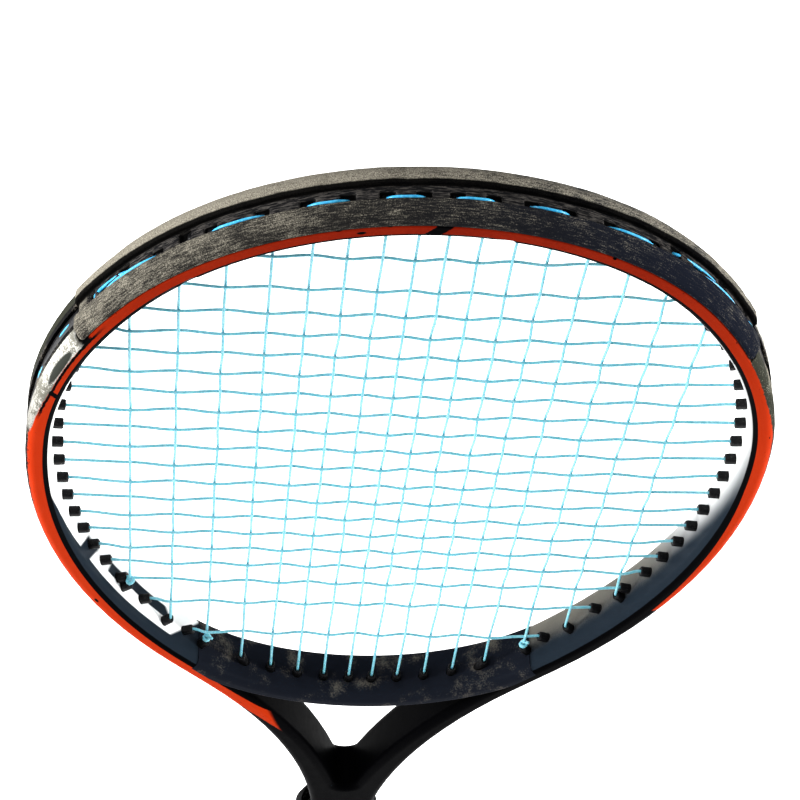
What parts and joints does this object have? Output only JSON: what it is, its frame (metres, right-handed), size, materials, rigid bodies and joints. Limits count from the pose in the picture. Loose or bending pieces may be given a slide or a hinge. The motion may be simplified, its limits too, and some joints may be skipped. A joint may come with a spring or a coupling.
{
  "type": "tennis racket",
  "caption": "Strung tennis racket with a hollow oval frame, worn bumper guard, open throat, wrapped octagonal grip, sliding rubber collar and hinged butt door.",
  "frame": {"origin": "centre of the butt cap's flat end face", "axes": "+Z from the butt to the tip of the head, X across the head in the string plane, Y square to the strings, front face towards -Y"},
  "size_m": [0.2644, 0.0346, 0.685],
  "materials": {
    "frame": "satin painted carbon tube, orange bands over black with worn chips",
    "bumper": "scuffed matte nylon",
    "grommets": "satin nylon",
    "strings": "glossy co-polyester",
    "pallets": "moulded polyurethane",
    "foam": "rigid foam",
    "weight": "filled silicone",
    "butt": "moulded nylon",
    "butt_door": "glossy plastic",
    "staples": "steel wire",
    "grip": "perforated synthetic wrap",
    "tape": "satin adhesive tape",
    "collar": "matte rubber"
  },
  "bodies": {
    "racket": {"frame_tube": "frame", "throat_bridge": "frame", "bumper_guard": "bumper", "grommet_strip_left": "grommets", "grommet_strip_right": "grommets", "grommet_strip_throat": "grommets", "main_string": "strings", "cross_string": "strings", "string_knots": "strings", "pallet_front": "pallets", "pallet_back": "pallets", "foam_core_left": "foam", "foam_core_right": "foam", "balance_weight": "weight", "butt_cap": "butt", "butt_cap_staples": "staples", "base_grip": "grip", "finishing_tape": "tape"},
    "collar": {"grip_collar": "collar"},
    "door": {"butt_cap_door": "butt_door"}
  },
  "joints": [
    {"name": "collar_slide", "type": "slide", "parent": "racket", "child": "collar", "axis": [0, 0, 1], "range_m": [0, 0.034]},
    {"name": "butt_door_hinge", "type": "hinge", "parent": "racket", "child": "door", "pos_m": [0, 0.0048, 0.0014], "axis": [1, 0, 0], "range_deg": [0, 90]}
  ]
}
